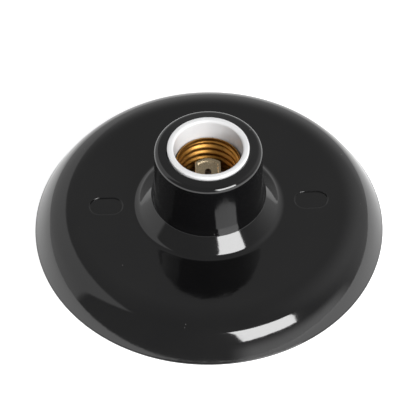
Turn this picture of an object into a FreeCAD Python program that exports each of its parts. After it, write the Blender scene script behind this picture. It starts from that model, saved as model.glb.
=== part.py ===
import FreeCAD, Part
import math
import os
import Sketcher

# Round ceiling lamp holder for an E27 lamp, in millimetres.
# Z points up, the open rim of the plate stands on Z = 0 and the socket axis is the Z axis.
# The wires and the fixings are reached from the open underside.

SIZES = {
    # screw shell of sheet brass
    "thread_radius": 13.35,
    "shell_sheet": 0.4,
    "shell_height": 20.2,
    "foot_width": 9.0,
    "foot_reach": 9.2,
    # porcelain insert
    "shell_gap": 0.85,
    "insert_wall": 2.8,
    "collar_depth": 9.5,
    "collar_proud": 1.1,
    "collar_cut": 0.8,
    "socket_floor": 21.0,
    "floor_thickness": 8.0,
    "insert_base": 7.0,
    "insert_ledge": 6.8,
    "insert_ring": 5.2,
    "wire_notch": 8.0,
    # neck of the cover
    "insert_clearance": 0.4,
    "neck_wall": 4.6,
    "neck_flare": 0.5,
    "neck_crown": 1.0,
    "seat_height": 17.0,
    "ledge_wall": 1.2,
    "skirt_wall": 2.2,
    "skirt_bottom": 8.0,
    # plate of the cover
    "plate_radius": 76.0,
    "rim_edge": 1.4,
    "flange_width": 5.2,
    "flange_rise": 0.2,
    "shoulder_height": 14.0,
    "shoulder_lean": 1.2,
    "shoulder_drop": 5.0,
    "shoulder_run": 12.5,
    "dome_rise": 1.5,
    "cove_width": 6.4,
    "cove_cut": 2.2,
    "ledge_height": 20.9,
    "ledge_rise": 1.2,
    "foot_cut": 2.1,
    "edge_cut": 1.2,
    "plate_wall": 3.0,
    # knock-outs for the fixing screws
    "knockout_spacing": 88.9,
    "knockout_length": 14.4,
    "knockout_width": 9.4,
    "knockout_recess": 0.7,
    "knockout_web": 1.2,
    # stiffening ribs and fixing bosses under the plate
    "rib_thickness": 2.0,
    "rib_bottom": 5.0,
    "rib_root": 0.8,
    "boss_spread": 31.0,
    "boss_radius": 4.6,
    "boss_depth": 4.4,
    # retaining bridge and its screws
    "screw_radius": 2.0,
    "screw_clearance": 0.3,
    "thread_clearance": 0.05,
    "bridge_width": 12.0,
    "bridge_sheet": 1.2,
    "head_radius": 3.8,
    "head_height": 2.8,
    "slot_width": 1.0,
    "slot_depth": 1.1,
    # contacts and terminals
    "shell_rivet_place": 11.3,
    "leaf_rivet_place": 8.5,
    "rivet_radius": 1.2,
    "rivet_clearance": 0.1,
    "rivet_head": 1.9,
    "rivet_head_height": 0.8,
    "rivet_tail": 1.7,
    "rivet_tail_height": 0.6,
    "terminal_sheet": 0.8,
    "terminal_width": 6.4,
    "terminal_shift": 8.6,
    "terminal_screw_radius": 1.75,
    "terminal_screw_depth": 3.6,
    "terminal_head_radius": 3.1,
    "terminal_head_height": 2.0,
    "clamp_sheet": 0.7,
    "clamp_side": 6.4,
    # centre contact leaf
    "leaf_sheet": 0.6,
    "leaf_width": 11.2,
    "leaf_angle_deg": 28.5,
    "leaf_tip": 11.1,
    "socket_reach": 13.0,
    "leaf_bend": 5.9,
    "leaf_lift": 0.3,
    "leaf_play": 0.55,
    "leaf_border": 1.2,
    "leaf_coin": 0.2,
    "leaf_hole": 1.4,
    "leaf_hole_clearance": 0.35,
    "leaf_hole_place": 5.4,
}


class Size:
    """A length that carries both its value and its expression in the sheet."""

    def __init__(self, value, text):
        self.value = value
        self.text = text

    def __add__(self, other):
        other = as_size(other)
        return Size(self.value + other.value, f"({self.text} + {other.text})")

    def __sub__(self, other):
        other = as_size(other)
        return Size(self.value - other.value, f"({self.text} - {other.text})")

    def __mul__(self, other):
        other = as_size(other)
        return Size(self.value * other.value, f"({self.text} * {other.text})")

    def __truediv__(self, other):
        other = as_size(other)
        return Size(self.value / other.value, f"({self.text} / {other.text})")

    def __neg__(self):
        return Size(-self.value, f"(-{self.text})")


def as_size(number):
    if isinstance(number, Size):
        return number
    return Size(float(number), str(float(number)))


def make_sheet(doc):
    """The driving sizes, one row each: name, then value."""
    sheet = doc.addObject("Spreadsheet::Sheet", "Sizes")
    for row, (name, value) in enumerate(SIZES.items(), start=1):
        sheet.set(f"A{row}", name)
        sheet.set(f"B{row}", str(value))
        sheet.setAlias(f"B{row}", name)
    doc.recompute()
    return sheet


DOC = FreeCAD.newDocument("lamp_holder")
SHEET = make_sheet(DOC)


def size(name):
    return Size(float(SHEET.get(name)), f"Sizes.{name}")


def tangent(angle):
    return Size(math.tan(math.radians(angle.value)), f"tan({angle.text})")


def cosine(angle):
    return Size(math.cos(math.radians(angle.value)), f"cos({angle.text})")


ZERO = as_size(0)

# Radii from the socket axis outwards
shell_radius = size("thread_radius") + size("shell_sheet")
bore_radius = shell_radius + size("shell_gap")
insert_radius = bore_radius + size("insert_wall")
neck_bore = insert_radius + size("insert_clearance")
neck_radius = neck_bore + size("neck_wall")
insert_foot = insert_radius + size("insert_ledge")
seat_radius = insert_foot + size("insert_clearance")
skirt_radius = seat_radius + size("skirt_wall")
ledge_radius = seat_radius + size("ledge_wall")
cove_radius = ledge_radius + size("cove_width")
terminal_recess = insert_foot - size("insert_ring")
crease_radius = size("plate_radius") - size("flange_width")
shoulder_radius = crease_radius - size("shoulder_lean")
hollow_radius = crease_radius - size("plate_wall") - size("shoulder_lean") / 2

# Heights from the rim upwards
crease_height = size("rim_edge") + size("flange_rise")
cove_height = size("shoulder_height") + size("dome_rise")
shell_top = size("socket_floor") + size("shell_height")
insert_top = shell_top + size("collar_depth")
neck_height = insert_top - size("collar_proud")
neck_foot = size("ledge_height") + size("ledge_rise")
recess_top = size("socket_floor") - size("floor_thickness")
dome_slope = size("dome_rise") / (shoulder_radius - cove_radius)


def dome_height(radius):
    """Height of the dome's outer face at a radius."""
    return size("shoulder_height") + dome_slope * (shoulder_radius - radius)


def hollow_height(radius):
    """Height of the dome's underside at a radius."""
    return dome_height(radius) - size("plate_wall")


# ---------------------------------------------------------------- drawing helpers

def origin_feature(body, role):
    for feature in body.Origin.OriginFeatures:
        if feature.Role == role:
            return feature
    raise ValueError(role)


def new_body(name):
    body = DOC.addObject("PartDesign::Body", name)
    body.Label = name
    return body


def new_sketch(body, name, plane, offset=None, turn=None):
    """An empty sketch on one of the body's origin planes, moved or turned about its own axes."""
    sketch = body.newObject("Sketcher::SketchObject", name)
    sketch.AttachmentSupport = [(origin_feature(body, plane), "")]
    sketch.MapMode = "FlatFace"
    if turn is not None:
        sketch.AttachmentOffset = FreeCAD.Placement(FreeCAD.Vector(), turn)
    if offset is not None:
        sketch.setExpression(".AttachmentOffset.Base.z", offset.text)
    return sketch


def bind(sketch, kind, geometry, point, length):
    """A dimension that follows the sheet. A coordinate of zero lies on the sketch axis."""
    if length.value == 0 and kind == "DistanceX":
        sketch.addConstraint(Sketcher.Constraint("PointOnObject", geometry, point, -2))
        return
    if length.value == 0 and kind == "DistanceY":
        sketch.addConstraint(Sketcher.Constraint("PointOnObject", geometry, point, -1))
        return
    if kind == "Radius":
        constraint = Sketcher.Constraint(kind, geometry, length.value)
    else:
        constraint = Sketcher.Constraint(kind, geometry, point, length.value)
    index = sketch.addConstraint(constraint)
    sketch.setExpression(f"Constraints[{index}]", length.text)


def draw_outline(sketch, corners):
    """A closed outline of straight lines through the corners, each an (x, y) pair of sizes."""
    corners = [(as_size(x), as_size(y)) for x, y in corners]
    points = [FreeCAD.Vector(x.value, y.value, 0) for x, y in corners]
    first = sketch.GeometryCount
    count = len(points)
    for index in range(count):
        line = Part.LineSegment(points[index], points[(index + 1) % count])
        sketch.addGeometry(line)
    for index in range(count):
        following = first + (index + 1) % count
        sketch.addConstraint(Sketcher.Constraint("Coincident", first + index, 2, following, 1))
    for index, (x, y) in enumerate(corners):
        bind(sketch, "DistanceX", first + index, 1, x)
        bind(sketch, "DistanceY", first + index, 1, y)


def draw_circle(sketch, x, y, radius):
    x = as_size(x)
    y = as_size(y)
    centre = FreeCAD.Vector(x.value, y.value, 0)
    index = sketch.addGeometry(Part.Circle(centre, FreeCAD.Vector(0, 0, 1), radius.value))
    bind(sketch, "DistanceX", index, 3, x)
    bind(sketch, "DistanceY", index, 3, y)
    bind(sketch, "Radius", index, None, radius)


def draw_slot(sketch, x, y, length, width):
    """A slot with round ends about (x, y), along the sketch's X axis."""
    x = as_size(x)
    y = as_size(y)
    radius = width / 2
    reach = length / 2 - radius
    right = FreeCAD.Vector(x.value + reach.value, y.value, 0)
    left = FreeCAD.Vector(x.value - reach.value, y.value, 0)
    up = FreeCAD.Vector(0, radius.value, 0)
    normal = FreeCAD.Vector(0, 0, 1)
    quarter = math.pi / 2
    circle = Part.Circle(right, normal, radius.value)
    right_arc = sketch.addGeometry(Part.ArcOfCircle(circle, -quarter, quarter))
    top = sketch.addGeometry(Part.LineSegment(right + up, left + up))
    circle = Part.Circle(left, normal, radius.value)
    left_arc = sketch.addGeometry(Part.ArcOfCircle(circle, quarter, 3 * quarter))
    bottom = sketch.addGeometry(Part.LineSegment(left - up, right - up))
    chain = [right_arc, top, left_arc, bottom]
    for before, after in zip(chain, chain[1:] + chain[:1]):
        sketch.addConstraint(Sketcher.Constraint("Tangent", before, 2, after, 1))
    sketch.addConstraint(Sketcher.Constraint("Equal", right_arc, left_arc))
    bind(sketch, "Radius", right_arc, None, radius)
    bind(sketch, "DistanceX", right_arc, 3, x + reach)
    bind(sketch, "DistanceX", left_arc, 3, x - reach)
    bind(sketch, "DistanceY", right_arc, 3, y)


def revolve(body, name, corners):
    """Turn a closed outline of (radius, height) corners about the Z axis."""
    sketch = new_sketch(body, name + "_outline", "XZ_Plane")
    draw_outline(sketch, corners)
    turned = body.newObject("PartDesign::Revolution", name)
    turned.Profile = sketch
    turned.ReferenceAxis = (sketch, ["V_Axis"])
    turned.Angle = 360
    DOC.recompute()
    return turned


def pad(body, name, sketch, height):
    raised = body.newObject("PartDesign::Pad", name)
    raised.Profile = sketch
    raised.setExpression("Length", height.text)
    DOC.recompute()
    return raised


def pocket(body, name, sketch, depth=None, upwards=False):
    """Cut a sketch down from its plane, or up, to a depth or right through."""
    before = body.Shape.Volume
    cut = body.newObject("PartDesign::Pocket", name)
    cut.Profile = sketch
    cut.Reversed = upwards
    if depth is None:
        cut.Type = "ThroughAll"
    else:
        cut.setExpression("Length", depth.text)
    DOC.recompute()
    if not body.Shape.Volume < before:
        raise ValueError(name + " removes nothing")
    return cut


def repeat(body, name, feature, count):
    """Copies of a feature, evenly round the Z axis."""
    pattern = body.newObject("PartDesign::PolarPattern", name)
    pattern.Originals = [feature]
    pattern.Axis = (origin_feature(body, "Z_Axis"), [""])
    pattern.Angle = 360
    pattern.Occurrences = count
    body.Tip = pattern
    DOC.recompute()
    return pattern


def place(part, x=None, y=None, z=None):
    """Bind the position of a sub-part to the sheet."""
    for axis, length in (("x", x), ("y", y), ("z", z)):
        if length is not None:
            part.setExpression(f".Placement.Base.{axis}", as_size(length).text)
    return part


def cylinder(name, radius, height, x=None, y=None, z=None):
    solid = DOC.addObject("Part::Cylinder", name)
    solid.setExpression("Radius", as_size(radius).text)
    solid.setExpression("Height", as_size(height).text)
    return place(solid, x, y, z)


def block(name, length, width, height, x=None, y=None, z=None):
    """A box that starts at the corner (x, y, z)."""
    solid = DOC.addObject("Part::Box", name)
    solid.setExpression("Length", as_size(length).text)
    solid.setExpression("Width", as_size(width).text)
    solid.setExpression("Height", as_size(height).text)
    return place(solid, x, y, z)


def join(name, solids):
    union = DOC.addObject("Part::MultiFuse", name)
    union.Shapes = solids
    union.Refine = True
    return union


def cut_from(name, solid, tools):
    remaining = DOC.addObject("Part::Cut", name)
    remaining.Base = solid
    remaining.Tool = tools[0] if len(tools) == 1 else join(name + "_tools", tools)
    remaining.Refine = True
    return remaining


def overlap_of(name, solids):
    shared = DOC.addObject("Part::MultiCommon", name)
    shared.Shapes = solids
    return shared


# ---------------------------------------------------------------- cover

def rounded_corner(start, end):
    """Three chords of a round corner that climbs steeply from start and levels out at end."""
    run = start[0] - end[0]
    rise = end[1] - start[1]
    corners = [start]
    for turn in (math.radians(30), math.radians(60)):
        corners.append((start[0] - run * (1 - math.cos(turn)), start[1] + rise * math.sin(turn)))
    corners.append(end)
    return corners


def shoulder_corners():
    """Outside of the shoulder, from the side wall to the dome."""
    side_lean = size("shoulder_lean") / (size("shoulder_height") - crease_height)
    start = shoulder_radius + side_lean * size("shoulder_drop")
    end = shoulder_radius - size("shoulder_run")
    return rounded_corner((start, size("shoulder_height") - size("shoulder_drop")), (end, dome_height(end)))


def neck_corners():
    """Cove, ledge and outside of the neck, each corner broken by one chord."""
    cove_slope = (size("ledge_height") - cove_height) / size("cove_width")
    cove_start = cove_radius + size("cove_cut")
    cove_end = size("cove_cut") / 2
    ledge_slope = size("ledge_rise") / (ledge_radius - neck_radius)
    neck_top = neck_radius + size("neck_flare")
    neck_edge = neck_height - size("neck_crown")
    crown_slope = size("neck_crown") / (size("neck_wall") + size("neck_flare"))
    return [
        (cove_start, dome_height(cove_start)),
        (cove_radius - cove_end, cove_height + cove_end * cove_slope),
        (ledge_radius, size("ledge_height")),
        (neck_radius + size("foot_cut"), neck_foot - size("foot_cut") * ledge_slope),
        (neck_radius, neck_foot + size("foot_cut")),
        (neck_top, neck_edge - size("edge_cut")),
        (neck_top - size("edge_cut"), neck_edge + size("edge_cut") * crown_slope),
        (neck_bore, neck_height),
    ]


def cover_outline():
    """Half section of the plate and neck, from the rim inwards."""
    hollow_edge = shoulder_radius - size("shoulder_run") - size("shoulder_lean")
    rim = [
        (hollow_radius, ZERO),
        (size("plate_radius"), ZERO),
        (size("plate_radius"), size("rim_edge")),
        (crease_radius, crease_height),
    ]
    underside = [
        (neck_bore, size("seat_height")),
        (seat_radius, size("seat_height")),
        (seat_radius, size("skirt_bottom")),
        (skirt_radius, size("skirt_bottom")),
        (skirt_radius, hollow_height(skirt_radius)),
        (hollow_edge, hollow_height(hollow_edge)),
        (hollow_radius, size("shoulder_height") - size("shoulder_drop")),
    ]
    return rim + shoulder_corners() + neck_corners() + underside


def add_knockouts(body):
    """Shallow recesses with a thin web, one on each side, for the fixing screws."""
    place_x = size("knockout_spacing") / 2
    floor = dome_height(place_x) - size("knockout_recess")
    cuts = (("recess", floor, True), ("web", floor - size("knockout_web"), False))
    for name, height, upwards in cuts:
        sketch = new_sketch(body, f"knockout_{name}_outline", "XY_Plane", height)
        draw_slot(sketch, place_x, ZERO, size("knockout_length"), size("knockout_width"))
        cut = pocket(body, f"knockout_{name}", sketch, upwards=upwards)
        repeat(body, f"knockout_{name}_pair", cut, 2)


def add_ribs(body):
    """Four radial ribs from the skirt to the shoulder, between the knock-outs and the bosses."""
    inner = skirt_radius - size("rib_root")
    outer = shoulder_radius - size("shoulder_run")
    turn = FreeCAD.Rotation(FreeCAD.Vector(0, 1, 0), 45)
    sketch = new_sketch(body, "rib_outline", "XZ_Plane", turn=turn)
    draw_outline(sketch, [
        (inner, size("skirt_bottom")),
        (outer, size("rib_bottom")),
        (outer, hollow_height(outer) + size("rib_root")),
        (inner, hollow_height(inner) + size("rib_root")),
    ])
    rib = pad(body, "rib", sketch, size("rib_thickness"))
    rib.Midplane = True
    DOC.recompute()
    repeat(body, "ribs", rib, 4)


def add_bosses(body):
    """Two blind threaded bosses at the front and back for the bridge screws."""
    hole_radius = size("screw_radius") + size("thread_clearance")
    boss_top = hollow_height(size("boss_spread")) + size("rib_root")
    sketch = new_sketch(body, "boss_outline", "XY_Plane", size("insert_base"))
    draw_circle(sketch, ZERO, size("boss_spread"), size("boss_radius"))
    boss = pad(body, "boss", sketch, boss_top - size("insert_base"))
    repeat(body, "bosses", boss, 2)
    sketch = new_sketch(body, "boss_hole_outline", "XY_Plane", size("insert_base"))
    draw_circle(sketch, ZERO, size("boss_spread"), hole_radius)
    hole = pocket(body, "boss_hole", sketch, size("boss_depth"), upwards=True)
    repeat(body, "boss_holes", hole, 2)


def add_wire_gaps(body):
    """Gaps through the skirt on both sides, in line with the wire notches of the insert."""
    half = size("wire_notch") / 2
    reach = skirt_radius + size("rib_root")
    sketch = new_sketch(body, "wire_gap_outline", "XY_Plane", hollow_height(skirt_radius))
    draw_outline(sketch, [(-reach, -half), (reach, -half), (reach, half), (-reach, half)])
    pocket(body, "wire_gap", sketch)


def make_cover():
    """Plate and neck, moulded in one piece and hollow beneath."""
    body = new_body("cover")
    revolve(body, "shell_of_revolution", cover_outline())
    add_ribs(body)
    add_bosses(body)
    add_wire_gaps(body)
    add_knockouts(body)
    return body


# ---------------------------------------------------------------- porcelain insert

def make_insert():
    """Porcelain body: collar and socket above, foot flange and terminal recess below."""
    body = new_body("porcelain_insert")
    revolve(body, "insert_of_revolution", [
        (ZERO, recess_top),
        (terminal_recess, recess_top),
        (terminal_recess, size("insert_base")),
        (insert_foot, size("insert_base")),
        (insert_foot, size("seat_height")),
        (insert_radius, size("seat_height")),
        (insert_radius, insert_top - size("collar_cut")),
        (insert_radius - size("collar_cut"), insert_top),
        (bore_radius + size("collar_cut"), insert_top),
        (bore_radius, insert_top - size("collar_cut")),
        (bore_radius, size("socket_floor")),
        (ZERO, size("socket_floor")),
    ])
    sketch = new_sketch(body, "rivet_holes_outline", "XY_Plane", size("socket_floor"))
    hole_radius = size("rivet_radius") + size("rivet_clearance")
    draw_circle(sketch, size("shell_rivet_place"), ZERO, hole_radius)
    draw_circle(sketch, -size("shell_rivet_place"), ZERO, hole_radius)
    draw_circle(sketch, ZERO, -size("leaf_rivet_place"), hole_radius)
    pocket(body, "rivet_holes", sketch)
    sketch = new_sketch(body, "screw_holes_outline", "XY_Plane", recess_top)
    hole_radius = size("terminal_screw_radius") + size("screw_clearance")
    for x, y in terminal_places():
        draw_circle(sketch, x, y, hole_radius)
    depth = size("terminal_screw_depth") + size("screw_clearance")
    pocket(body, "screw_holes", sketch, depth, upwards=True)
    sketch = new_sketch(body, "wire_notch_outline", "XY_Plane", recess_top)
    half = size("wire_notch") / 2
    reach = insert_foot + size("wire_notch")
    draw_outline(sketch, [(-reach, -half), (reach, -half), (reach, half), (-reach, half)])
    pocket(body, "wire_notch", sketch)
    return body


# ---------------------------------------------------------------- screw shell

def make_screw_shell():
    """Edison screw shell of sheet brass, with two riveted feet turned in at the bottom."""
    body = new_body("screw_shell")
    floor = size("socket_floor")
    sheet = size("shell_sheet")
    revolve(body, "shell_wall", [
        (size("foot_reach"), floor),
        (shell_radius, floor),
        (shell_radius, shell_top),
        (size("thread_radius"), shell_top),
        (size("thread_radius"), floor + sheet),
        (size("foot_reach"), floor + sheet),
    ])
    sketch = new_sketch(body, "foot_gaps_outline", "XY_Plane", floor + sheet)
    half = size("foot_width") / 2
    reach = shell_radius + sheet
    draw_outline(sketch, [(-reach, half), (reach, half), (reach, reach), (-reach, reach)])
    draw_outline(sketch, [(-reach, -reach), (reach, -reach), (reach, -half), (-reach, -half)])
    pocket(body, "foot_gaps", sketch)
    sketch = new_sketch(body, "foot_holes_outline", "XY_Plane", floor + sheet)
    hole_radius = size("rivet_radius") + size("rivet_clearance")
    draw_circle(sketch, size("shell_rivet_place"), ZERO, hole_radius)
    draw_circle(sketch, -size("shell_rivet_place"), ZERO, hole_radius)
    pocket(body, "foot_holes", sketch)
    return body


def make_rivet(name, x, y, head_seat, tail_seat):
    """A round-shank rivet between a head seat above and a clinched tail below."""
    shank = cylinder(name + "_shank", size("rivet_radius"), head_seat - tail_seat, x, y, tail_seat)
    head = cylinder(name + "_head", size("rivet_head"), size("rivet_head_height"), x, y, head_seat)
    tail_height = size("rivet_tail_height")
    tail = cylinder(name + "_tail", size("rivet_tail"), tail_height, x, y, tail_seat - tail_height)
    return join(name, [shank, head, tail])


def make_shell_rivets():
    """The two rivets through the feet of the screw shell. The left one holds a terminal too."""
    head_seat = size("socket_floor") + size("shell_sheet")
    spread = size("shell_rivet_place")
    left = make_rivet("shell_rivet_left", -spread, ZERO, head_seat, recess_top - size("terminal_sheet"))
    right = make_rivet("shell_rivet_right", spread, ZERO, head_seat, recess_top)
    return [left, right]


# ---------------------------------------------------------------- centre contact

def leaf_strip(name, underside, topside):
    """A bent strip between two distances above the underside of the leaf, wide as the leaf."""
    body = new_body(name)
    slope = size("leaf_angle_deg")
    start = -size("socket_reach")
    bend = -size("leaf_bend")
    end = size("socket_reach")
    floor = size("socket_floor") + size("leaf_lift")
    low_bend = bend - underside * bend_shift()
    high_bend = bend - topside * bend_shift()
    rise = (end - bend) * tangent(slope)
    sketch = new_sketch(body, name + "_outline", "YZ_Plane")
    draw_outline(sketch, [
        (start, floor + underside),
        (low_bend, floor + underside),
        (end, floor + rise + underside / cosine(slope)),
        (end, floor + rise + topside / cosine(slope)),
        (high_bend, floor + topside),
        (start, floor + topside),
    ])
    strip = pad(body, name + "_pad", sketch, size("leaf_width"))
    strip.Midplane = True
    DOC.recompute()
    return body


def bend_shift():
    """How far the bend line moves back for each millimetre above the leaf's underside."""
    slope = size("leaf_angle_deg")
    return (as_size(1) / cosine(slope) - 1) / tangent(slope)


def make_leaf():
    """Centre contact leaf: riveted root, rising blade with a coined field, end cut on an arc."""
    floor = size("socket_floor")
    reach = size("leaf_tip")
    strip = leaf_strip("leaf_strip", ZERO, size("leaf_sheet"))
    height = size("socket_reach") * 2
    plan = cylinder("leaf_plan", reach, height, z=floor)
    blank = overlap_of("leaf_blank", [strip, plan])
    layer = leaf_strip("leaf_layer", size("leaf_sheet") - size("leaf_coin"), size("leaf_sheet") * 2)
    field_plan = cylinder("leaf_field_plan", reach - size("leaf_border"), height, z=floor)
    half = size("leaf_width") / 2 - size("leaf_border")
    start = -size("leaf_bend") + size("leaf_border")
    field_box = block("leaf_field_box", half * 2, reach - start, height, -half, start, floor)
    field = overlap_of("leaf_field", [layer, field_plan, field_box])
    hole_radius = size("rivet_radius") + size("leaf_hole_clearance")
    root_hole = cylinder("leaf_root_hole", hole_radius, height, y=-size("leaf_rivet_place"), z=floor)
    hole_place = reach - size("leaf_hole_place")
    blade_hole = cylinder("leaf_blade_hole", size("leaf_hole"), height, y=hole_place, z=floor)
    return cut_from("centre_contact_leaf", blank, [field, root_hole, blade_hole])


def make_leaf_rivet():
    """Rivet of the leaf's root. Its head leaves the leaf room to tip as a lamp presses it."""
    head_seat = size("socket_floor") + size("leaf_lift") + size("leaf_sheet") + size("leaf_play")
    tail_seat = recess_top - size("terminal_sheet")
    return make_rivet("centre_contact_rivet", ZERO, -size("leaf_rivet_place"), head_seat, tail_seat)


# ---------------------------------------------------------------- terminals

def terminal_places():
    """Places of the two terminal screws: the line screw, then the neutral screw."""
    line = (size("shell_rivet_place"), -size("leaf_rivet_place"))
    neutral = (-size("shell_rivet_place"), size("terminal_shift"))
    return [line, neutral]


def make_terminal(name, reach, x, y, turn):
    """A flat strap from its rivet at (x, y) to its screw, under the floor of the insert."""
    body = new_body(name)
    half = size("terminal_width") / 2
    sketch = new_sketch(body, name + "_outline", "XY_Plane")
    draw_outline(sketch, [(-half, -half), (reach + half, -half), (reach + half, half), (-half, half)])
    draw_circle(sketch, ZERO, ZERO, size("rivet_radius") + size("rivet_clearance"))
    draw_circle(sketch, reach, ZERO, size("terminal_screw_radius") + size("thread_clearance"))
    pad(body, name + "_pad", sketch, size("terminal_sheet"))
    body.Placement.Rotation = FreeCAD.Rotation(FreeCAD.Vector(0, 0, 1), turn)
    return place(body, x, y, recess_top - size("terminal_sheet"))


def make_terminals():
    """The line strap under the leaf's rivet and the neutral strap under the left shell rivet."""
    spread = size("shell_rivet_place")
    line = make_terminal("line_terminal", spread, ZERO, -size("leaf_rivet_place"), 0)
    neutral = make_terminal("neutral_terminal", size("terminal_shift"), -spread, ZERO, 90)
    return [line, neutral]


def slotted(name, solids, x, y, seat, head_radius, head_height):
    """Join the solids of a screw and cut the driver slot across the bottom of its head."""
    whole = join(name + "_blank", solids)
    slot_width = size("slot_width")
    slot = block(name + "_slot", head_radius * 2, slot_width, size("slot_depth"),
                 x - head_radius, y - slot_width / 2, seat - head_height)
    return cut_from(name, whole, [slot])


def make_terminal_screws():
    """The screw of each terminal with its square clamp, driven up against the strap."""
    screws = []
    strap = recess_top - size("terminal_sheet")
    seat = strap - size("clamp_sheet")
    side = size("clamp_side")
    radius = size("terminal_screw_radius")
    length = size("clamp_sheet") + size("terminal_sheet") + size("terminal_screw_depth")
    head_radius = size("terminal_head_radius")
    head_height = size("terminal_head_height")
    for name, (x, y) in zip(("line_terminal_screw", "neutral_terminal_screw"), terminal_places()):
        shank = cylinder(name + "_shank", radius, length, x, y, seat)
        head = cylinder(name + "_head", head_radius, head_height, x, y, seat - head_height)
        clamp = block(name + "_clamp", side, side, size("clamp_sheet"), x - side / 2, y - side / 2, seat)
        screws.append(slotted(name, [shank, head, clamp], x, y, seat, head_radius, head_height))
    return screws


# ---------------------------------------------------------------- retaining bridge

def make_bridge():
    """Flat steel bridge that holds the insert up against its seat in the cover."""
    body = new_body("retaining_bridge")
    spread = size("boss_spread")
    half = size("bridge_width") / 2
    end = spread + half
    sketch = new_sketch(body, "bridge_outline", "XY_Plane", size("insert_base") - size("bridge_sheet"))
    draw_outline(sketch, [(-half, -end), (half, -end), (half, end), (-half, end)])
    hole_radius = size("screw_radius") + size("screw_clearance")
    draw_circle(sketch, ZERO, spread, hole_radius)
    draw_circle(sketch, ZERO, -spread, hole_radius)
    pad(body, "bridge_pad", sketch, size("bridge_sheet"))
    return body


def make_bridge_screws():
    """The screw at each end of the bridge, driven up into its boss."""
    screws = []
    seat = size("insert_base") - size("bridge_sheet")
    length = size("bridge_sheet") + size("boss_depth") - size("screw_clearance")
    radius = size("screw_radius")
    head_radius = size("head_radius")
    head_height = size("head_height")
    for end, y in (("front", -size("boss_spread")), ("back", size("boss_spread"))):
        name = "bridge_screw_" + end
        shank = cylinder(name + "_shank", radius, length, ZERO, y, seat)
        head = cylinder(name + "_head", head_radius, head_height, ZERO, y, seat - head_height)
        screws.append(slotted(name, [shank, head], ZERO, y, seat, head_radius, head_height))
    return screws


# ---------------------------------------------------------------- assembly

def check_document():
    """Stop if any object failed to recompute."""
    for item in DOC.Objects:
        if "Invalid" in item.State or "Error" in item.State:
            raise ValueError(f"{item.Label} is {item.State}")


def check_parts(parts):
    """Stop if a sub-part has no sound shape."""
    for part in parts:
        shape = part.Shape
        if shape.isNull() or not shape.isValid() or not shape.Solids:
            raise ValueError(f"{part.Label} has no sound solid")


def main():
    parts = [make_cover(), make_insert(), make_screw_shell(), make_leaf(), make_leaf_rivet()]
    parts += make_shell_rivets()
    parts += make_terminals()
    parts += make_terminal_screws()
    parts.append(make_bridge())
    parts += make_bridge_screws()
    DOC.recompute()
    check_document()
    check_parts(parts)
    os.makedirs("parts", exist_ok=True)
    for part in parts:
        part.Shape.exportStep(f"parts/{part.Label}.step")


main()
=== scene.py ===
"""Looks of the round lamp holder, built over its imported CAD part.

Metres. The rim stands on z = 0, the socket axis is z and the knock-outs lie along x.
Lengths in the shape code are in millimetres and are scaled where a mesh is made.
"""

import math

import bmesh
import bpy
import numpy as np
from mathutils import Matrix, Vector


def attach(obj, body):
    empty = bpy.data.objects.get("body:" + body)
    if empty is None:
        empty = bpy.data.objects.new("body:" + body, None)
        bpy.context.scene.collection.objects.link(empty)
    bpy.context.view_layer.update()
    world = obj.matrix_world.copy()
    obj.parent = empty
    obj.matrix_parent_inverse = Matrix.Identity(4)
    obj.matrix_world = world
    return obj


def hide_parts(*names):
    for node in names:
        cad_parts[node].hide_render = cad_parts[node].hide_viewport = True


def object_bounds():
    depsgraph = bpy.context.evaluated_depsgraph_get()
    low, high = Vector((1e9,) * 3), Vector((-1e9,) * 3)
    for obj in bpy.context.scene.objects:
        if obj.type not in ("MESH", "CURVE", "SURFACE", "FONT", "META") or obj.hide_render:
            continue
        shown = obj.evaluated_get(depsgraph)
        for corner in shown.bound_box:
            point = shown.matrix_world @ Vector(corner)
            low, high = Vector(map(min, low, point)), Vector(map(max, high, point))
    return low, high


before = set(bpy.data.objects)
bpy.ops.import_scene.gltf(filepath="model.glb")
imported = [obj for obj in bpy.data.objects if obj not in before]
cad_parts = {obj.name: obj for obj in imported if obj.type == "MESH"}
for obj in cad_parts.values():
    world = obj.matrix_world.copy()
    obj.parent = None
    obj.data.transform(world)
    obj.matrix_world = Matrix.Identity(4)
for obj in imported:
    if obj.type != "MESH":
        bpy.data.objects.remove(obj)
CAD_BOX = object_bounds()
MM = 0.001
BODY = "holder"
LEAF_BODY = "contact_leaf"

# ------------------------------------------------------------------ sizes in millimetres

# the plate: a level top, a convex shoulder and a thin rim
PLATE_RADIUS = round(CAD_BOX[1][0] / MM, 2)
RIM_INSIDE = 67.2
PLATE_TOP = 14.45
PLATE_WALL = 3.0
LEVEL_RADIUS = 40.0
SHOULDER_RADIUS = 57.1
DISH = 0.0015
KNOCKOUT_X = 44.45
KNOCKOUT_STRAIGHT = 2.5
KNOCKOUT_RADIUS = 4.7
KNOCKOUT_DEPTH = 0.7
KNOCKOUT_UNDER = 1.1

# the neck, and the pocket, skirt, ribs and posts under it
NECK_RADIUS = 22.9
NECK_TOP = 49.6
NECK_BORE = 17.8
CONE_RADIUS = 31.2
SEAT = 17.0
POCKET_RADIUS = 24.6
POCKET_TOP = 12.7
SKIRT_RADIUS = 26.8
SKIRT_MIDDLE = 25.7
SKIRT_LOW = 8.0
SKIRT_HIGH = 13.3
NOTCH_HALF = 4.0
RIB_HALF = 1.0
RIB_INSIDE = 26.3
POST_Y = 31.0
POST_HOLE = 2.05
POST_LOW = 7.0
POST_HIGH = 13.4

# the porcelain insert
INSERT_TOP = round(CAD_BOX[1][2] / MM, 2)
INSERT_RADIUS = 17.4
INSERT_FLANGE = 24.2
INSERT_BASE = 13.0
INSERT_RING = 19.0
RING_MIDDLE = 21.6
RING_LOW = 7.0
BORE_RADIUS = 14.6
FLOOR = 21.0

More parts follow.
